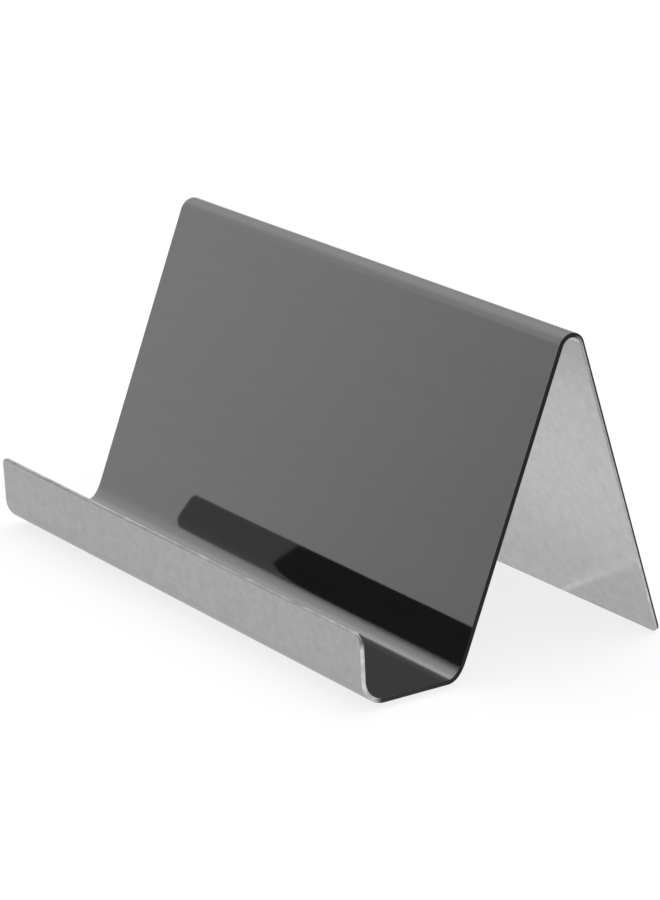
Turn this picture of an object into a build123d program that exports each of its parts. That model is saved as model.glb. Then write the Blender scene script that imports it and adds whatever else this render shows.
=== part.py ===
# Desk stand for business cards, folded from one sheet of stainless steel.
# Seen from its right end, the sheet is a low front lip, a trough that the cards stand in, a panel
# that they lean on, a round ridge, and a rear leg that comes down to the desk. Two stick-on rubber
# feet under the trough keep the stand from sliding.
# X runs along the folds, +Y points to the back and +Z up. The origin is on the desk, under the
# middle of the stand. Lengths are millimetres and leans are degrees from the vertical.
from build123d import *
import os
from math import cos, radians, sin, tan

# Overall size, from end to end of the folds and from the desk to the top of the ridge
STAND_LENGTH = 95.0
STAND_HEIGHT = 49.2

# Sheet: its gauge, the inside radius of each bend, and the rounded corners of the flat blank
SHEET_THICKNESS = 0.7
LIP_BEND_RADIUS = 3.4
TROUGH_BEND_RADIUS = 2.4
RIDGE_BEND_RADIUS = 1.7
BLANK_CORNER_RADIUS = 1.0

# Trough: inside depth at its floor, inside height of its lip, and how far the lip leans forward
TROUGH_DEPTH = 16.0
LIP_HEIGHT = 10.2
LIP_LEAN = 4.0

# Tent: how far the panel leans back, and how far the leg splays behind it
PANEL_LEAN = 20.2
LEG_LEAN = 19.6

# Rubber feet: discs with a rounded lower rim, set in from the ends of the trough to their middles
FOOT_DIAMETER = 8.0
FOOT_THICKNESS = 0.8
FOOT_RIM_RADIUS = 0.3
FOOT_INSET = 12.5

# The trough's floor lies on the feet, and the cards stand on its upper face
FLOOR_LEVEL = FOOT_THICKNESS + SHEET_THICKNESS


def ridge_corner():
    """Sharp corner, in Y and Z, where the outer faces of the panel and the leg would meet.

    The ridge is rounded below it, so that the top of the round is at the stand's height.
    """
    round_radius = RIDGE_BEND_RADIUS + SHEET_THICKNESS
    half_angle = radians(PANEL_LEAN + LEG_LEAN) / 2
    skew = radians(PANEL_LEAN - LEG_LEAN) / 2
    level = STAND_HEIGHT + round_radius * (cos(skew) / sin(half_angle) - 1)
    return TROUGH_DEPTH + (level - FLOOR_LEVEL) * tan(radians(PANEL_LEAN)), level


def card_side_corners():
    """Sharp corners, in Y and Z, of the face that the cards touch, from the lip's edge to the leg's end."""
    lip_edge = (-LIP_HEIGHT * tan(radians(LIP_LEAN)), FLOOR_LEVEL + LIP_HEIGHT)
    lip_corner = (0, FLOOR_LEVEL)
    panel_corner = (TROUGH_DEPTH, FLOOR_LEVEL)
    ridge_y, ridge_z = ridge_corner()
    # The leg is cut square, so its rear edge stops a little above the desk that its front edge meets
    end_z = SHEET_THICKNESS * sin(radians(LEG_LEAN))
    leg_end = (ridge_y + (ridge_z - end_z) * tan(radians(LEG_LEAN)), end_z)
    return [lip_edge, lip_corner, panel_corner, (ridge_y, ridge_z), leg_end]


def folded_sheet():
    """The whole steel sheet: one gauge all along, bent three times, with its four corners rounded."""
    bends = [LIP_BEND_RADIUS, TROUGH_BEND_RADIUS, RIDGE_BEND_RADIUS + SHEET_THICKNESS]
    card_side = FilletPolyline(*card_side_corners(), radius=bends)
    outline = offset(card_side, SHEET_THICKNESS, side=Side.RIGHT)
    profile = Plane.YZ * make_face(outline)
    sheet = extrude(profile, STAND_LENGTH / 2, both=True)
    square_corners = sheet.edges().group_by(SortBy.LENGTH)[0]
    return fillet(square_corners, BLANK_CORNER_RADIUS)


def trough_flat_middle():
    """Y of the middle of the trough's flat floor, between its two bends."""
    lip_setback = LIP_BEND_RADIUS * tan(radians(90 - LIP_LEAN) / 2)
    panel_setback = TROUGH_BEND_RADIUS * tan(radians(90 - PANEL_LEAN) / 2)
    return (lip_setback + TROUGH_DEPTH - panel_setback) / 2


def rubber_foot(end):
    """One foot, between the desk and the trough's underside; end is -1 for the left and 1 for the right."""
    disc = Cylinder(FOOT_DIAMETER / 2, FOOT_THICKNESS, align=(Align.CENTER, Align.CENTER, Align.MIN))
    disc = fillet(disc.edges().group_by(Axis.Z)[0], FOOT_RIM_RADIUS)
    return Pos(end * (STAND_LENGTH / 2 - FOOT_INSET), trough_flat_middle()) * disc


def stand():
    """Every piece by name, moved so that the origin is under the middle of the sheet."""
    pieces = {
        "folded_sheet": folded_sheet(),
        "left_rubber_foot": rubber_foot(-1),
        "right_rubber_foot": rubber_foot(1),
    }
    to_middle = Pos(Y=-pieces["folded_sheet"].bounding_box().center().Y)
    return {name: to_middle * piece for name, piece in pieces.items()}


os.makedirs("parts", exist_ok=True)
for name, piece in stand().items():
    export_step(piece, f"parts/{name}.step")
    box = piece.bounding_box()
    print(f"{name}: {piece.volume:.1f} mm3, from {box.min} to {box.max}")
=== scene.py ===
# %% [markdown]
# # A business card stand, bent from one sheet of steel
# The stand is a single sheet of stainless steel, folded three times: a low front lip, a trough that the cards
# stand in, a leaning panel, a round ridge and a rear leg. One side of the sheet is mirror-polished, the other
# is left satin, and two rubber feet are stuck under the trough.
# The CAD model of the stand comes first. It is the fixed frame that every surface here is fitted to, so its
# box is kept, and the folded sheet is compared with it.

# %% Load the frame
import bpy
import numpy as np
from mathutils import Euler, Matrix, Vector


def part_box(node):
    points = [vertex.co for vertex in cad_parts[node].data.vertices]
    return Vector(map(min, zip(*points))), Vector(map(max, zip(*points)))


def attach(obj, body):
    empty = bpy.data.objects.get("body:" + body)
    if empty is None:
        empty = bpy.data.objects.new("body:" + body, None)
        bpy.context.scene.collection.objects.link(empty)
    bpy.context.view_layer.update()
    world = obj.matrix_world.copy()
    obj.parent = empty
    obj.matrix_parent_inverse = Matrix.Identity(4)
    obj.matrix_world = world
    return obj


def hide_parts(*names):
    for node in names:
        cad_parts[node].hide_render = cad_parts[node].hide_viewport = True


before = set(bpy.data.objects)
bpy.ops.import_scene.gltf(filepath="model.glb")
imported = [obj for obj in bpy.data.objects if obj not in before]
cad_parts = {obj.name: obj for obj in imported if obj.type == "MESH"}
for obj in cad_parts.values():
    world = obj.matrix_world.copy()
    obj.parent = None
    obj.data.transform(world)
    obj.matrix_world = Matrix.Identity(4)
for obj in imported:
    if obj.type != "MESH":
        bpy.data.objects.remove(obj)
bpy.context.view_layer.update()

MM = 0.001
sheet_low, sheet_high = (np.array(corner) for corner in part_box("folded_sheet"))
print("CAD nodes:", sorted(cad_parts))
print("sheet's size in mm:", np.round((sheet_high - sheet_low) / MM, 2))

# %% [markdown]
# ## The camera
# The camera stands to the front and right of the stand, and a little above it. A long lens, from half a metre
# away, keeps the folds nearly parallel, as in a product picture. Its place is written as a photographer would
# give it: the point that it looks at, how far round and how high it stands, its distance, and a slight tilt.
# Blender's camera looks along its own -Z, so turning it by 90 degrees less its elevation about X, and then by
# its azimuth about Z, points it at the stand.

# %% Camera
AIM = Vector((1.92, 0.43, 21.08)) * MM
AZIMUTH = np.radians(53.453)
ELEVATION = np.radians(18.214)
TILT = np.radians(0.648)
DISTANCE = 510.5 * MM
LENS_MM = 134.42
SENSOR_MM = 36.0

camera_data = bpy.data.cameras.new("camera")
camera_data.sensor_width = SENSOR_MM
camera_data.lens = LENS_MM
camera = bpy.data.objects.new("camera", camera_data)
bpy.context.scene.collection.objects.link(camera)
bpy.context.scene.camera = camera
bpy.context.scene.view_settings.view_transform = "Standard"

turn = Euler((np.pi / 2 - ELEVATION, 0, AZIMUTH)).to_matrix() @ Euler((0, 0, TILT)).to_matrix()
camera.rotation_euler = turn.to_euler()
camera.location = AIM + turn @ Vector((0, 0, DISTANCE))
print("camera stands at, in mm:", [round(v / MM, 1) for v in camera.location])

# %% [markdown]
# ## The line of the sheet
# Looked at from the end, the sheet is a line of four straight runs joined by three bends. The line could be
# drawn as a curve and bevelled, but a folded sheet has a neater description: its heading as a function of the
# length walked along it. The heading stays the same on a run and changes evenly through a bend, so it is one
# line of `np.interp`, and adding up small steps along the heading gives the line itself.
# The line followed here is the card side, the face that the cards touch. The trough's bend isn't an arc: it
# turns tightly at the floor and then ever more gently, until it runs out into the panel, as metal does that
# was pushed over a nose and sprang back a little. It strays about an eighth of a millimetre from an arc, and
# a mirror shows even that: it rounds the lower corners of the lip's reflection.

# %% Corners of the card side
THICKNESS = 0.7 * MM
TROUGH_DEPTH = 16.0 * MM
LIP_HEIGHT = 10.2 * MM
LIP_LEAN, PANEL_LEAN, LEG_LEAN = np.radians((4.0, 20.2, 19.6))
RIDGE_BEND_RADIUS = 2.4 * MM
FOOT_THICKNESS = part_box("left_rubber_foot")[1].z

floor_level = FOOT_THICKNESS + THICKNESS
ridge_round = np.cos((PANEL_LEAN - LEG_LEAN) / 2) / np.sin((PANEL_LEAN + LEG_LEAN) / 2) - 1
ridge_level = sheet_high[2] + RIDGE_BEND_RADIUS * ridge_round
ridge_back = TROUGH_DEPTH + (ridge_level - floor_level) * np.tan(PANEL_LEAN)
leg_end_level = THICKNESS * np.sin(LEG_LEAN)
corners = np.array((
    (-LIP_HEIGHT * np.tan(LIP_LEAN), floor_level + LIP_HEIGHT),
    (0, floor_level),
    (TROUGH_DEPTH, floor_level),
    (ridge_back, ridge_level),
    (ridge_back + (ridge_level - leg_end_level) * np.tan(LEG_LEAN), leg_end_level),
))
corners[:, 0] += sheet_high[1] - corners[-1, 0]
print("corners of the card side, y and z in mm:", np.round(corners / MM, 2).tolist())

# %% Lengths of the runs and bends
LIP_BEND_RADIUS = 3.4 * MM
TROUGH_BEND_LENGTH = 5.3 * MM
BEND_SAMPLES = 400

runs = np.diff(corners, axis=0)
run_heading = np.arctan2(runs[:, 1], runs[:, 0])
lip_turn, trough_turn, ridge_turn = np.diff(run_heading)


def eased(share):
    """Share of the trough's turn that is made after a share of its bend's length.

    The share of the turn still to come is the cube of the share of the length still to come.
    """
    return 1 - (1 - np.clip(share, 0, 1)) ** 3


# Level and upright length of the trough's bend, as means over small shares of its length
bend_shares = (np.arange(BEND_SAMPLES) + 0.5) / BEND_SAMPLES
eased_heading = trough_turn * eased(bend_shares)
reach = TROUGH_BEND_LENGTH * np.cos(eased_heading).mean()
rise = TROUGH_BEND_LENGTH * np.sin(eased_heading).mean()

# How far from its sharp corner each bend starts and ends
lip_setback = LIP_BEND_RADIUS * np.tan(abs(lip_turn) / 2)
ridge_setback = RIDGE_BEND_RADIUS * np.tan(abs(ridge_turn) / 2)
start_setback = lip_setback, reach - rise * np.tan(PANEL_LEAN), ridge_setback
end_setback = lip_setback, rise / np.cos(PANEL_LEAN), ridge_setback

# Runs and bends by turns, from the lip's rim to the leg's end
stretches = np.zeros(2 * len(runs) - 1)
stretches[0::2] = np.linalg.norm(runs, axis=1) - np.r_[start_setback, 0] - np.r_[0, end_setback]
stretches[1::2] = LIP_BEND_RADIUS * abs(lip_turn), TROUGH_BEND_LENGTH, RIDGE_BEND_RADIUS * abs(ridge_turn)
marks = np.r_[0, np.cumsum(stretches)]
lip_bend, trough_bend, ridge_bend = marks[1:3], marks[3:5], marks[5:7]
SHEET_RUN = marks[-1]
print("length of the flat blank in mm:", round(SHEET_RUN / MM, 2))

# %% Walk along the line
CHECK_STEPS = 4000
mark_heading = np.repeat(run_heading, 2)


def heading_at(walked):
    """Heading of the card side after a length walked: the same all along a run, changing evenly in a bend.

    In the trough's bend, the length walked is first moved on, to where an even bend would have turned as far
    as the eased one has.
    """
    share = np.clip((walked - trough_bend[0]) / TROUGH_BEND_LENGTH, 0, 1)
    return np.interp(walked + TROUGH_BEND_LENGTH * (eased(share) - share), marks, mark_heading)


def line_at(walked):
    """Y and Z after a length walked, in rising order: steps along the middle heading of each step, added up.

    A small step through a bend is a chord, which is its arc times sin(h) / h for half its turn, h.
    """
    stops = np.r_[0, walked]
    heading = heading_at(stops)
    half_turn = np.diff(heading) / 2
    chord = np.diff(stops) * np.sinc(half_turn / np.pi)
    middle = heading[:-1] + half_turn
    steps = chord[:, None] * np.stack((np.cos(middle), np.sin(middle)), axis=1)
    return corners[0] + np.cumsum(steps, axis=0)


leg_end = line_at(np.linspace(0, SHEET_RUN, CHECK_STEPS))[-1]
print("the leg's end is missed by, in mm:", np.round((leg_end - corners[-1]) / MM, 4))

# %% [markdown]
# ## The flat blank
# Before folding, the sheet is a flat rectangle with rounded corners and edges that were tumbled to take off
# the burr. A cube with a Bevel modifier could be bent into shape, but the mirror side shows every flaw in a
# mesh, so the surface is worked out exactly instead. The blank is a grid of rows along its length and columns
# across it. Moving every border point inwards by an inset gives the smaller outlines that the rounded edge
# needs.

# %% Rows and columns of the blank
HALF_WIDTH = (sheet_high[0] - sheet_low[0]) / 2
CORNER_RADIUS = 1.0 * MM
CORNER_ROWS = 7
RUN_ROWS = (5, 5, 14, 14)
BEND_ROWS = (28, 40, 40)
COLUMNS = 25

row_counts = np.zeros(stretches.size, int)
row_counts[0::2] = RUN_ROWS
row_counts[1::2] = BEND_ROWS
row_marks = marks.copy()
row_marks[[0, -1]] = CORNER_RADIUS, SHEET_RUN - CORNER_RADIUS
inner_rows = np.concatenate([
    np.linspace(start, end, count, endpoint=False)
    for start, end, count in zip(row_marks, row_marks[1:], row_counts)
])[1:]
sweep = np.linspace(0, np.pi / 2, CORNER_ROWS)
corner_walk = CORNER_RADIUS * (1 - np.cos(sweep))

# Each row's place along the blank and half its width, and how both change as the outline moves inwards
row_walk = np.r_[corner_walk, inner_rows, SHEET_RUN - corner_walk[::-1]]
row_half = np.full(row_walk.size, HALF_WIDTH)
row_half[:CORNER_ROWS] -= CORNER_RADIUS * (1 - np.sin(sweep))
row_half[-CORNER_ROWS:] -= CORNER_RADIUS * (1 - np.sin(sweep[::-1]))
walk_inset = np.zeros(row_walk.size)
walk_inset[:CORNER_ROWS] = np.cos(sweep)
walk_inset[-CORNER_ROWS:] = -np.cos(sweep[::-1])
half_inset = -np.sqrt(1 - walk_inset**2)
across = np.linspace(-1, 1, COLUMNS)
print("rows and columns of the blank:", row_walk.size, COLUMNS)

# %% [markdown]
# ## Folding the blank
# Folding maps a point of the blank to space: its row gives the place along the card side's line, its column
# the place along X, and its depth a step square to the sheet, into its thickness. The same map makes the
# mirror side at no depth, the satin side at the full thickness, and the rings of the rounded edge between
# them, so everything shares its border points and the sheet closes into one solid skin.
# Blender would guess shading normals by averaging the faces, which bends reflections near an edge. The exact
# normals are known here, so they are given to the mesh. Two things are added to them, both too small to see
# in the outline, but enough to shift what a mirror shows. Pressing dished the lip, so its normals are turned
# by about two degrees. And the trough's bend runs out a little further at its left end than at its right, as
# a sheet does that was bent by hand, so the strip of light along it narrows to the right.


# %% Fold a grid of points
def folded(inset, depth):
    """Points of the blank's grid, folded, with the border moved in by an inset.

    A point is the card side's line at its row, a step of depth along the normal into the sheet, and its
    column's share of the row's half width along X.
    """
    walk = row_walk + walk_inset * inset
    heading = heading_at(walk)
    inward = np.stack((np.sin(heading), -np.cos(heading)), axis=1)
    middle = line_at(walk) + depth * inward
    places = np.empty((row_walk.size, COLUMNS, 3))
    places[..., 0] = (row_half + half_inset * inset)[:, None] * across
    places[..., 1:] = middle[:, None, :]
    return places


# %% Normals of the card side
EDGE_ROUND = 0.12 * MM
LIP_DISH = np.radians(2.2)
RUN_OUT_LEFT, RUN_OUT_RIGHT = 6.0 * MM, 4.5 * MM


def card_normals():
    """Normal of the card side at each grid point, and the direction out of the blank's border there.

    Both follow the heading: the line's own, plus the lip's dish, plus what the trough's bend has turned more
    than the line where it runs out over each column's own length.
    """
    walk = row_walk + walk_inset * EDGE_ROUND
    dished = heading_at(walk) + np.interp(walk, lip_bend, (LIP_DISH, 0))
    past = (walk - trough_bend[0])[:, None]
    run_out = np.interp(across, (-1, 1), (RUN_OUT_LEFT, RUN_OUT_RIGHT))
    heading = dished[:, None] + trough_turn * (eased(past / run_out) - eased(past / TROUGH_BEND_LENGTH))
    face = np.zeros((row_walk.size, COLUMNS, 3))
    face[..., 1] = -np.sin(heading)
    face[..., 2] = np.cos(heading)
    out = np.zeros((row_walk.size, COLUMNS, 3))
    side = np.sign(across) * (np.abs(across) == 1)
    out[..., 0] = -half_inset[:, None] * side
    out[..., 1] = -walk_inset[:, None] * np.cos(heading)
    out[..., 2] = -walk_inset[:, None] * np.sin(heading)
    return face.reshape(-1, 3), out.reshape(-1, 3)


# %% Border of the grid, and the rings of the rounded edge
grid = np.arange(row_walk.size * COLUMNS).reshape(row_walk.size, COLUMNS)
border = np.concatenate((grid[0], grid[1:, -1], grid[-1, -2::-1], grid[-2:0:-1, 0]))

ROUND_STEPS = 5
SHEARED_DEPTH, TORN_DEPTH = 0.31 * MM, 0.39 * MM
quarter = np.linspace(0, np.pi / 2, ROUND_STEPS)
card_round = EDGE_ROUND * (1 - np.cos(quarter))
ring_depth = np.r_[card_round, SHEARED_DEPTH, TORN_DEPTH, THICKNESS - card_round[::-1]]
ring_angle = np.r_[quarter, np.pi / 2, np.pi / 2, quarter + np.pi / 2]
ring_inset = EDGE_ROUND * (1 - np.sin(ring_angle))

card_points = folded(EDGE_ROUND, 0).reshape(-1, 3)
satin_points = folded(EDGE_ROUND, THICKNESS).reshape(-1, 3)
ring_points = [
    folded(inset, depth).reshape(-1, 3)[border]
    for inset, depth in zip(ring_inset[1:-1], ring_depth[1:-1])
]
card_normal, border_out = card_normals()
ring_normals = [
    np.cos(angle) * card_normal[border] + np.sin(angle) * border_out[border]
    for angle in ring_angle[1:-1]
]
points = np.concatenate([card_points, satin_points, *ring_points])
normals = np.concatenate([card_normal, -card_normal, *ring_normals])
print("points on the sheet:", len(points))

# %% Faces of the two sides and the edge
MIRROR, SATIN, CUT = range(3)
card_quads = np.stack((grid[:-1, :-1], grid[:-1, 1:], grid[1:, 1:], grid[1:, :-1]), axis=-1).reshape(-1, 4)
satin_quads = card_quads[:, ::-1] + grid.size
rings = 2 * grid.size + np.arange(len(ring_points) * border.size).reshape(-1, border.size)
rings = np.concatenate((border[None], rings, border[None] + grid.size))
following = np.roll(rings, -1, axis=1)
edge_quads = np.stack((rings[:-1], rings[1:], following[1:], following[:-1]), axis=-1).reshape(-1, 4)
quads = np.concatenate((card_quads, satin_quads, edge_quads))
finish_of_quad = np.repeat((MIRROR, SATIN, CUT), (len(card_quads), len(satin_quads), len(edge_quads)))


def mesh_piece(name, points, faces):
    """A new mesh object at the origin, smooth-shaded, from an array of points and a list of faces."""
    mesh = bpy.data.meshes.new(name)
    mesh.from_pydata(points, [], faces)
    mesh.polygons.foreach_set("use_smooth", np.ones(len(faces), bool))
    piece = bpy.data.objects.new(name, mesh)
    bpy.context.scene.collection.objects.link(piece)
    return piece


sheet = mesh_piece("bent_steel_sheet", points, quads.tolist())
sheet.data.normals_split_custom_set_from_vertices(normals)
sheet.data.polygons.foreach_set("material_index", finish_of_quad.astype(np.int32))
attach(sheet, "root")
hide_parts("folded_sheet")
print("faces on the sheet:", len(quads))
print("sheet against CAD, in mm:", np.round((points.min(0) - sheet_low) / MM, 3),
      np.round((points.max(0) - sheet_high) / MM, 3))

# %% [markdown]
# ## What the finish needs to know about the sheet
# Two facts about a place on the sheet change how it looks, and neither can be read from its position alone.
# One is how much a bend dulled the polish: a little on the lip's bend and the ridge, and far more on the
# lower part of the trough's bend, where the press's nose rubbed it. Where it is strongest, the same level
# also lightens the steel, a painted highlight along the trough's bend. The other is how bright the cut edge
# is, and that is painted light. Shears cut halfway through, which leaves a dark band, and the rest tears off.
# The dark is partly the cut steel's own and partly painted shade, for the stand's shadow that the edge would
# mirror. Down the leg the torn half is painted bright, as a reflection of lit paper, at the lip's ends nearly
# the whole edge is, and along the lip's rim both halves are, a little. Both facts could be painted on by
# hand, but they change along the sheet's line, so a few levels along it say the same. They are kept as
# attributes on the mesh's points, which the materials can read.


# %% Values along the sheet, and on its points
def along_rows(levels, start=0.0):
    """Level at each row: straight lines between the levels, which are given by their mm past a start."""
    return np.interp(row_walk, start + np.array(list(levels)) * MM, list(levels.values()))


def keep_on_points(name, values):
    """Keep one value for each of the sheet's points, as an attribute that its materials can read."""
    attribute = sheet.data.attributes.new(name, "FLOAT", "POINT")
    attribute.data.foreach_set("value", values.astype(np.float32))
    print(name, "has a mean of", round(float(values.mean()), 3))


# %% How far the bends are dulled, and where that paints a highlight
# In the middle of the lip's bend and the ridge, and by mm past the start of the trough's bend. Where these
# levels are strong, along the trough's bend, they also lighten the mirror's colour: a painted highlight
BEND_DULLING_AND_HIGHLIGHT = 0.2
NOSE_DULLING_AND_HIGHLIGHT = {-0.3: 0, 0: 0.6, 0.35: 0.85, 0.8: 0.9, 1.3: 0.78, 1.8: 0.65, 2.5: 0.75, 3.1: 0}

row_dulling_and_highlight = along_rows(NOSE_DULLING_AND_HIGHLIGHT, trough_bend[0])
for bend in (lip_bend, ridge_bend):
    row_dulling_and_highlight += np.interp(row_walk, (bend[0], bend.mean(), bend[1]), (0, BEND_DULLING_AND_HIGHLIGHT, 0))
on_grid = np.repeat(row_dulling_and_highlight, COLUMNS)
keep_on_points("dulling_and_highlight", np.concatenate([on_grid, on_grid] + [on_grid[border]] * len(ring_points)))

# %% How bright the cut edge is painted
# Painted light on the cut edge, from dark, the cut steel's own with painted shade, at 0, to a painted
# reflection of lit paper at 1: the torn half at the sheet's ends, by mm from the lip's rim, and by mm past
# the ridge's bend
FRONT_PAINTED_LIGHT = {0: 0.25, 1.2: 0.3, 2: 0.95, 8.5: 1, 10.3: 0.95, 11.6: 0.04, 17: 0.035, 21: 0.015, 24: 0}
LEG_PAINTED_LIGHT = {-2.5: 0, 0: 0.5, 25: 0.6, 39: 0.8, 46: 0.8, 50: 0.65}
# How many times as bright the sheared half is painted there, by mm from the lip's rim
SHEARED_RATIO = {0: 0.03, 1.2: 0.3, 2: 0.8, 8.5: 0.9, 10.3: 0.8, 11.6: 0.5, 21: 0.5, 24: 0.03}
# Both along the lip's rim and the leg's foot, from one share of the half width to another
RIM_ACROSS = (-0.1, 0.3)
RIM_PAINTED_LIGHT = (0.34, 0.42)
RIM_SHEARED_RATIO = (1.45, 1.15)

# Painted light for each grid point of the border, then for each ring of the rounded edge
row_painted_light = along_rows(FRONT_PAINTED_LIGHT) + along_rows(LEG_PAINTED_LIGHT, ridge_bend[1])
painted_light = np.repeat(row_painted_light, COLUMNS).reshape(grid.shape)
sheared = np.repeat(along_rows(SHEARED_RATIO), COLUMNS).reshape(grid.shape)
painted_light[[0, -1]] = np.interp(across, RIM_ACROSS, RIM_PAINTED_LIGHT)
sheared[[0, -1]] = np.interp(across, RIM_ACROSS, RIM_SHEARED_RATIO)
border_painted_light, border_sheared = painted_light.ravel()[border], sheared.ravel()[border]
torn = np.interp(ring_depth, (SHEARED_DEPTH, TORN_DEPTH), (0, 1))[:, None]
ring_painted_light = border_painted_light * (border_sheared + (1 - border_sheared) * torn)
painted_edge_light = np.zeros(len(points))
painted_edge_light[border] = ring_painted_light[0]
painted_edge_light[border + grid.size] = ring_painted_light[-1]
painted_edge_light[2 * grid.size:] = ring_painted_light[1:-1].ravel()
keep_on_points("painted_edge_light", painted_edge_light)

# %% [markdown]
# ## Making materials from nodes
# Each finish is a small node tree. One helper adds a node, sets its options and input values, and links the
# inputs that take another node's output, so a material reads as a short list. Colours are written as hex
# values, as on a swatch, and turned to the linear numbers that Blender works in.

# %% Helpers for materials
# Nearly all of a noise texture's values lie between these two
NOISE_SPAN = {"From Min": 0.3, "From Max": 0.7}


def linear(hex_colour):
    """sRGB hex colour as linear RGBA.

    By the sRGB curve, a part c of the colour becomes c / 12.92, or ((c + 0.055) / 1.055) to the power 2.4.
    """
    srgb = np.array([int(hex_colour[i:i + 2], 16) for i in (1, 3, 5)]) / 255
    rgb = np.where(srgb <= 0.04045, srgb / 12.92, ((srgb + 0.055) / 1.055) ** 2.4)
    return (*rgb.tolist(), 1.0)


def add(tree, kind, inputs=None, **settings):
    """A new node of a kind, with its settings; an input takes a value or the output of another node."""
    node = tree.nodes.new("ShaderNode" + kind)
    for name, value in settings.items():
        setattr(node, name, value)
    for socket, value in (inputs or {}).items():
        if isinstance(value, bpy.types.NodeSocket):
            tree.links.new(value, node.inputs[socket])
        else:
            node.inputs[socket].default_value = value
    return node


def blank_material(name):
    """A material with an empty node tree and its output node."""
    material = bpy.data.materials.new(name)
    material.use_nodes = True
    material.node_tree.nodes.clear()
    return material, material.node_tree, add(material.node_tree, "OutputMaterial")


# %% [markdown]
# ## Mirror-polished steel
# The card side was polished until it mirrors the room. Polished stainless steel looks darker than it is,
# because it shows whatever dim thing stands opposite it. A mirror needs very little roughness, and what it
# has isn't even: the polishing belt ran along the sheet, so long faint streaks lie along X, a little hazier
# and lighter. Where a bend is dulled the reflections soften. Where it is dulled most, along the trough's
# bend, the steel's colour is lightened too, a painted highlight. Sheet is never quite flat, either: a very
# shallow wave makes straight reflections waver.


# %% Mirror-polished steel
def mirror_polished_steel():
    """Stainless steel, belt-polished to a mirror: dark and clear, with a faint haze along the folds."""
    material, tree, output = blank_material("mirror_polished_stainless_steel")
    STREAK_LENGTH, STREAK_WIDTH = 50.0 * MM, 1.2 * MM
    WAVE_LENGTH, WAVE_HEIGHT = 18.0 * MM, 0.012 * MM
    DULLED_ROUGHNESS = 0.36
    place = add(tree, "TexCoord").outputs["Object"]
    drawn_out = add(tree, "Mapping", {
        "Vector": place,
        "Scale": (1 / STREAK_LENGTH, 1 / STREAK_WIDTH, 1 / STREAK_WIDTH),
    })
    streaks = add(tree, "TexNoise", {
        "Vector": drawn_out.outputs["Vector"], "Scale": 1.0, "Detail": 3.0, "Roughness": 0.6,
    })
    waves = add(tree, "TexNoise", {"Vector": place, "Scale": 1 / WAVE_LENGTH, "Detail": 1.0})
    bump = add(tree, "Bump", {"Height": waves.outputs["Fac"], "Strength": 1.0, "Distance": WAVE_HEIGHT})
    dulling_and_highlight = add(tree, "Attribute", attribute_name="dulling_and_highlight")
    haze = add(tree, "MapRange", {
        "Value": streaks.outputs["Fac"], **NOISE_SPAN, "To Min": 0.03, "To Max": 0.06,
    })
    rough = add(tree, "Math", {
        0: dulling_and_highlight.outputs["Fac"], 1: DULLED_ROUGHNESS, 2: haze.outputs["Result"],
    }, operation="MULTIPLY_ADD")
    polished = add(tree, "MixRGB", {
        "Fac": streaks.outputs["Fac"], "Color1": linear("#7C7C7D"), "Color2": linear("#818182"),
    })
    # Painted highlight: the square of these levels is small except where they are strong, along the trough's
    # bend, and there it lightens the steel's colour
    lighter = add(tree, "Math", {0: dulling_and_highlight.outputs["Fac"], 1: 2.0}, operation="POWER")
    tone = add(tree, "MixRGB", {
        "Fac": lighter.outputs["Value"], "Color1": polished.outputs["Color"], "Color2": linear("#939394"),
    })
    # On metal the specular tint is how much is left of the reflections at a glancing view
    shader = add(tree, "BsdfPrincipled", {
        "Base Color": tone.outputs["Color"],
        "Metallic": 1.0,
        "Roughness": rough.outputs["Value"],
        "Specular Tint": linear("#D3D3D3"),
        "Normal": bump.outputs["Normal"],
    })
    tree.links.new(shader.outputs["BSDF"], output.inputs["Surface"])
    return material


# %% [markdown]
# ## Satin steel
# The other side is as the rolling mill left it. Fine rolling lines, far closer together than a pixel, spread
# the light into an even grey, with slightly lighter and darker blotches. An anisotropic shader could stretch
# highlights across the lines, but light as soft as this leaves few to stretch, so plain roughness serves. The
# lines themselves run along X and only show close up, so they are drawn a few times coarser than they are.


# %% Satin steel
def satin_rolled_steel():
    """Stainless steel as rolled: an even light grey that blurs all it reflects, lined along the folds."""
    material, tree, output = blank_material("satin_rolled_stainless_steel")
    LINE_LENGTH, LINE_WIDTH, LINE_DEPTH = 6.0 * MM, 0.25 * MM, 0.004 * MM
    BLOTCH_SIZE = 1.4 * MM
    place = add(tree, "TexCoord").outputs["Object"]
    drawn_out = add(tree, "Mapping", {
        "Vector": place,
        "Scale": (1 / LINE_LENGTH, 1 / LINE_WIDTH, 1 / LINE_WIDTH),
    })
    lines = add(tree, "TexNoise", {"Vector": drawn_out.outputs["Vector"], "Scale": 1.0, "Detail": 4.0})
    blotches = add(tree, "TexNoise", {
        "Vector": place, "Scale": 1 / BLOTCH_SIZE, "Detail": 3.0, "Roughness": 0.6,
    })
    rough = add(tree, "MapRange", {
        "Value": lines.outputs["Fac"], **NOISE_SPAN, "To Min": 0.19, "To Max": 0.23,
    })
    tone = add(tree, "MixRGB", {
        "Fac": blotches.outputs["Fac"], "Color1": linear("#ADADAD"), "Color2": linear("#C8C8C8"),
    })
    bump = add(tree, "Bump", {"Height": lines.outputs["Fac"], "Strength": 0.05, "Distance": LINE_DEPTH})
    shader = add(tree, "BsdfPrincipled", {
        "Base Color": tone.outputs["Color"],
        "Metallic": 1.0,
        "Roughness": rough.outputs["Result"],
        "Normal": bump.outputs["Normal"],
    })
    tree.links.new(shader.outputs["BSDF"], output.inputs["Surface"])
    return material
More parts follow.
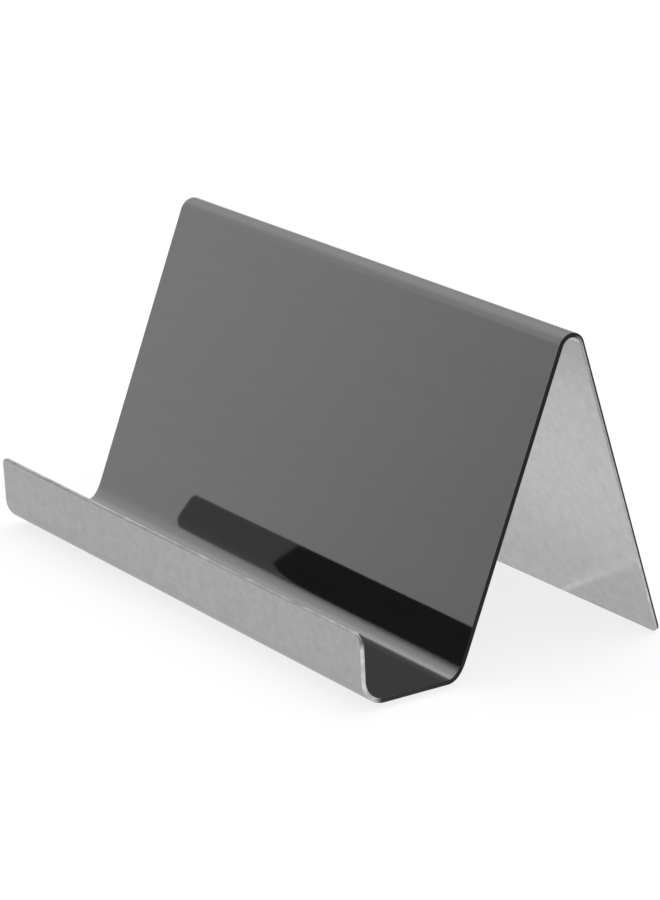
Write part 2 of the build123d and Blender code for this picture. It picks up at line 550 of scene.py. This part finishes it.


# %% [markdown]
# ## Cut edges
# The blank was sheared, and its edges are dark, partly as cut steel and partly as painted shade, except where
# they are painted bright as reflections of lit paper. The attribute made above says how much, and patches a
# few millimetres long break it up at random.


# %% Cut edges
def sheared_steel_edge():
    """Sheared stainless steel edge: dark and matt, with painted reflections of lit paper on lip and leg."""
    material, tree, output = blank_material("sheared_stainless_steel_edge")
    PATCH_SIZE = 2.5 * MM
    place = add(tree, "TexCoord").outputs["Object"]
    patches = add(tree, "TexNoise", {
        "Vector": place, "Scale": 1 / PATCH_SIZE, "Detail": 4.0, "Roughness": 0.6,
    })
    painted_light = add(tree, "Attribute", attribute_name="painted_edge_light")
    # Random patches break up the painted light on the edge
    patchiness = add(tree, "MapRange", {
        "Value": patches.outputs["Fac"], **NOISE_SPAN, "To Min": 0.65, "To Max": 1.15,
    })
    patchy_painted_light = add(tree, "Math", {0: painted_light.outputs["Fac"], 1: patchiness.outputs["Result"]}, operation="MULTIPLY")
    # From the dark of cut steel with painted shade, to a painted reflection of lit paper
    tone = add(tree, "MixRGB", {
        "Fac": patchy_painted_light.outputs["Value"], "Color1": linear("#2C2C2C"), "Color2": linear("#F2F2F2"),
    })
    rough = add(tree, "MapRange", {
        "Value": patches.outputs["Fac"], **NOISE_SPAN, "To Min": 0.35, "To Max": 0.55,
    })
    shader = add(tree, "BsdfPrincipled", {
        "Base Color": tone.outputs["Color"],
        "Metallic": 1.0,
        "Roughness": rough.outputs["Result"],
    })
    tree.links.new(shader.outputs["BSDF"], output.inputs["Surface"])
    return material


# %% Dress the sheet
# In the order of the numbers that its faces have: mirror, satin, cut
for finish in (mirror_polished_steel(), satin_rolled_steel(), sheared_steel_edge()):
    sheet.data.materials.append(finish)
print("finishes on the sheet:", [m.name for m in sheet.data.materials])

# %% [markdown]
# ## The rubber feet
# Two thin rubber discs are stuck under the trough, so that the stand doesn't slide or scratch the desk. Each
# is a solid of revolution, so its profile is drawn once, from the middle of its top to the middle of its
# sole, and carried round a circle. A thin layer of adhesive, cut a little smaller, shows as a fine groove at
# the top.


# %% Turned discs
def turned(profile, centre, steps):
    """A profile of radius and height carried round a vertical axis, closed at its first and last points."""
    angle = np.linspace(0, 2 * np.pi, steps, endpoint=False)
    ring = np.stack((np.cos(angle), np.sin(angle)), axis=1)
    body = profile[1:-1]
    points = np.empty((len(body), steps, 3))
    points[..., :2] = body[:, None, :1] * ring
    points[..., 2] = body[:, None, 1]
    poles = np.array(((0, 0, profile[0, 1]), (0, 0, profile[-1, 1])))
    points = np.concatenate((points.reshape(-1, 3), poles)) + centre
    index = np.arange(len(body) * steps).reshape(-1, steps)
    beside = np.roll(index, -1, axis=1)
    walls = np.stack((index[:-1], index[1:], beside[1:], beside[:-1]), axis=-1).reshape(-1, 4)
    top = np.stack((np.full(steps, index.size), index[0], beside[0]), axis=-1)
    sole = np.stack((np.full(steps, index.size + 1), beside[-1], index[-1]), axis=-1)
    return points, walls.tolist() + top.tolist() + sole.tolist()


def foot_profile(radius, height):
    """Radius and height from the top's middle: adhesive, groove, side, rounded lower rim, sole."""
    ADHESIVE, ADHESIVE_INSET = 0.12 * MM, 0.15 * MM
    RIM, RIM_STEPS = 0.3 * MM, 7
    rim_turn = np.linspace(0, np.pi / 2, RIM_STEPS)
    rim = np.stack((radius - RIM + RIM * np.cos(rim_turn), RIM - RIM * np.sin(rim_turn)), axis=1)
    upper = np.array((
        (0, height),
        (radius - ADHESIVE_INSET, height),
        (radius - ADHESIVE_INSET, height - ADHESIVE),
        (radius, height - ADHESIVE),
    ))
    return np.concatenate((upper, rim, ((0, 0),)))


# %% [markdown]
# ## Rubber
# The discs are die-cut from black rubber sheet, which is matt and has a fine grain from its mould. A picture
# of rubber could be wrapped round them, but one noise, with grains a fifth of a millimetre wide, gives the
# colour, the roughness and a slight bump alike, with no seam.


# %% Die-cut rubber
def die_cut_rubber():
    """Black rubber, die-cut from sheet: matt, with the fine grain of its moulded skin."""
    material, tree, output = blank_material("die_cut_black_rubber")
    GRAIN_SIZE, GRAIN_DEPTH = 0.2 * MM, 0.02 * MM
    place = add(tree, "TexCoord").outputs["Object"]
    grain = add(tree, "TexNoise", {"Vector": place, "Scale": 1 / GRAIN_SIZE, "Detail": 3.0})
    tone = add(tree, "MixRGB", {
        "Fac": grain.outputs["Fac"], "Color1": linear("#1C1C1D"), "Color2": linear("#2A2A2B"),
    })
    rough = add(tree, "MapRange", {"Value": grain.outputs["Fac"], "To Min": 0.6, "To Max": 0.8})
    bump = add(tree, "Bump", {"Height": grain.outputs["Fac"], "Strength": 0.4, "Distance": GRAIN_DEPTH})
    shader = add(tree, "BsdfPrincipled", {
        "Base Color": tone.outputs["Color"],
        "Roughness": rough.outputs["Result"],
        "IOR": 1.52,
        "Normal": bump.outputs["Normal"],
    })
    tree.links.new(shader.outputs["BSDF"], output.inputs["Surface"])
    return material


# %% The two feet
DISC_STEPS = 48
SHARP_ANGLE = np.radians(35.0)
rubber = die_cut_rubber()
for end in ("left", "right"):
    low, high = (np.array(corner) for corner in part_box(f"{end}_rubber_foot"))
    centre = np.array(((low[0] + high[0]) / 2, (low[1] + high[1]) / 2, low[2]))
    profile = foot_profile((high[0] - low[0]) / 2, high[2] - low[2])
    foot = mesh_piece(f"{end}_foot_disc", *turned(profile, centre, DISC_STEPS))
    foot.data.set_sharp_from_angle(angle=SHARP_ANGLE)
    foot.data.materials.append(rubber)
    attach(foot, "root")
    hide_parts(f"{end}_rubber_foot")
    print(foot.name, "at, in mm:", np.round(centre / MM, 2))

# %% [markdown]
# ## The floor
# The stand is shown on plain white paper. A matt white floor alone would come out grey under soft light, so
# most of what the camera sees of it is a steady white, and the rest is lit, which keeps the shadow. Satin
# steel takes its tone from the paper, so reflections see nearly all of it as steady, bright under the tent
# that the panel and the leg make, less so in front and behind, and shaded close under the trough. At the
# tent's right end a slanting line of light lies on the paper, with a little shade past it, and the leg
# mirrors that line as a faint streak.


# %% Levels along a direction
def levels_along(tree, distance, levels):
    """Grey level at a distance, from a ramp with one stop for each of the levels, given by their mm."""
    places = np.array(list(levels)) * MM
    share = add(tree, "MapRange", {"Value": distance, "From Min": places[0], "From Max": places[-1]})
    ramp = add(tree, "ValToRGB", {"Fac": share.outputs["Result"]})
    stops = ramp.color_ramp.elements
    while len(stops) < len(levels):
        stops.new(0.5)
    for stop, place, level in zip(stops, places, levels.values()):
        stop.position = (place - places[0]) / (places[-1] - places[0])
        stop.color = (level, level, level, 1)
    return ramp.outputs["Color"]


# %% Floor
FLOOR_SIZE = 8.0
SEEN_SHARE, MIRRORED_SHARE = 0.8, 0.95
# By mm to the back of the stand's middle, and by mm past the slanting line, towards the shade
PAPER_LEVELS = {-30: 0.73, -26: 0.6, -20: 0.6, -14: 1.0, 11: 1.0, 23: 0.84}
SHADE_LEVELS = {-0.9: 1.0, -0.3: 1.19, 0.35: 1.19, 1.0: 0.92}
SHADE_FROM = np.array((26.2, 26.7, 0)) * MM
SHADE_WAY = np.array((0.755, 0.656, 0))

paper_points = np.array(((-1, -1, 0), (1, -1, 0), (1, 1, 0), (-1, 1, 0))) * FLOOR_SIZE / 2
floor = mesh_piece("paper_floor", paper_points, [(0, 1, 2, 3)])
paper, tree, output = blank_material("matt_white_paper")
rays = add(tree, "LightPath").outputs
place = add(tree, "TexCoord").outputs["Object"]
mirrored = add(tree, "Math", {
    0: rays["Is Glossy Ray"], 1: rays["Is Transmission Ray"],
}, operation="MAXIMUM")
mirrored_share = add(tree, "Math", {0: mirrored.outputs["Value"], 1: MIRRORED_SHARE}, operation="MULTIPLY")
steady_share = add(tree, "Math", {
    0: rays["Is Camera Ray"], 1: SEEN_SHARE, 2: mirrored_share.outputs["Value"],
}, operation="MULTIPLY_ADD")
to_back = add(tree, "SeparateXYZ", {"Vector": place}).outputs["Y"]
paper_level = levels_along(tree, to_back, PAPER_LEVELS)
from_line = add(tree, "VectorMath", {0: place, 1: SHADE_FROM}, operation="SUBTRACT").outputs["Vector"]
past_line = add(tree, "VectorMath", {0: from_line, 1: SHADE_WAY}, operation="DOT_PRODUCT").outputs["Value"]
shade_level = levels_along(tree, past_line, SHADE_LEVELS)
mirrored_level = add(tree, "Math", {0: paper_level, 1: shade_level}, operation="MULTIPLY", use_clamp=True)
level = add(tree, "Math", {
    0: mirrored_level.outputs["Value"], 1: rays["Is Camera Ray"],
}, operation="MAXIMUM")
matt = add(tree, "BsdfDiffuse", {"Color": linear("#EDEDED")})
white = add(tree, "Emission", {"Color": linear("#FFFFFF"), "Strength": level.outputs["Value"]})
mixed = add(tree, "MixShader", {
    0: steady_share.outputs["Value"], 1: matt.outputs["BSDF"], 2: white.outputs["Emission"],
})
tree.links.new(mixed.outputs["Shader"], output.inputs["Surface"])
floor.data.materials.append(paper)
print("floor's side in m:", FLOOR_SIZE)

# %% [markdown]
# ## Light
# Polished metal is lit by what it mirrors, so the room around the stand matters more than the lamp. Low down
# it is dim to the front and lighter to the sides, as a room with windows at both ends. A bright backdrop
# stands low behind the stand, and overhead the room is bright all round, most of all towards the back. Large
# lamps and boards could be set up for this, but a few smooth steps of brightness in the world's own shader
# are easier to read and to change. One large lamp overhead gives a gentle shadow.

# %% Room
DIM, SIDE_LIGHT = 0.52, 0.93
SIDE_FROM, SIDE_TO = 0.68, 0.86
FRONT_SKY, BACK_SKY = 0.84, 1.17
SKY_FRONT_Y, SKY_BACK_Y = -0.5, 0.15
LOW_ANGLE, HIGH_ANGLE = np.radians((8.0, 30.0))
BACKDROP_WAY = (0, 1, -2)
BACKDROP_FROM, BACKDROP_TO = 0.15, 0.35

world = bpy.data.worlds.new("room_with_side_windows")
bpy.context.scene.world = world
world.use_nodes = True
tree = world.node_tree
tree.nodes.clear()
way = add(tree, "TexCoord").outputs["Generated"]
along = add(tree, "SeparateXYZ", {"Vector": way}).outputs
flattened = add(tree, "VectorMath", {0: way, 1: (1, 1, 0)}, operation="MULTIPLY").outputs["Vector"]
level_way = add(tree, "VectorMath", {0: flattened}, operation="NORMALIZE").outputs["Vector"]
level_x = add(tree, "SeparateXYZ", {"Vector": level_way}).outputs["X"]
sideways = add(tree, "Math", {0: level_x}, operation="ABSOLUTE").outputs["Value"]
low_room = add(tree, "MapRange", {
    "Value": sideways, "From Min": SIDE_FROM, "From Max": SIDE_TO, "To Min": DIM, "To Max": SIDE_LIGHT,
}, interpolation_type="SMOOTHSTEP")
high_room = add(tree, "MapRange", {
    "Value": along["Y"], "From Min": SKY_FRONT_Y, "From Max": SKY_BACK_Y,
    "To Min": FRONT_SKY, "To Max": BACK_SKY,
}, interpolation_type="SMOOTHSTEP")
upward = add(tree, "MapRange", {
    "Value": along["Z"], "From Min": np.sin(LOW_ANGLE), "From Max": np.sin(HIGH_ANGLE),
}, interpolation_type="SMOOTHSTEP")
low_back = add(tree, "VectorMath", {0: way, 1: BACKDROP_WAY}, operation="DOT_PRODUCT").outputs["Value"]
backdrop = add(tree, "MapRange", {
    "Value": low_back, "From Min": BACKDROP_FROM, "From Max": BACKDROP_TO,
}, interpolation_type="SMOOTHSTEP")
bright = add(tree, "Math", {
    0: upward.outputs["Result"], 1: backdrop.outputs["Result"],
}, operation="MAXIMUM")
strength = add(tree, "Mix", {
    "Factor": bright.outputs["Value"], "A": low_room.outputs["Result"], "B": high_room.outputs["Result"],
})
room = add(tree, "Background", {"Color": linear("#FFFFFF"), "Strength": strength.outputs["Result"]})
add(tree, "OutputWorld", {"Surface": room.outputs["Background"]})
print("room's light from dim to bright:", DIM, BACK_SKY)

# %% Lamp
LAMP_PLACE = Vector((-0.15, 0.1, 0.9))
LAMP_SIZE = 0.7
LAMP_WATTS = 3.0
lamp_data = bpy.data.lights.new("overhead_softbox", "AREA")
lamp_data.shape = "SQUARE"
lamp_data.size = LAMP_SIZE
lamp_data.energy = LAMP_WATTS
lamp = bpy.data.objects.new("overhead_softbox", lamp_data)
lamp.location = LAMP_PLACE
lamp.rotation_euler = LAMP_PLACE.to_track_quat("Z", "Y").to_euler()
bpy.context.scene.collection.objects.link(lamp)
print("lamp above the stand, in m:", [round(v, 2) for v in LAMP_PLACE])
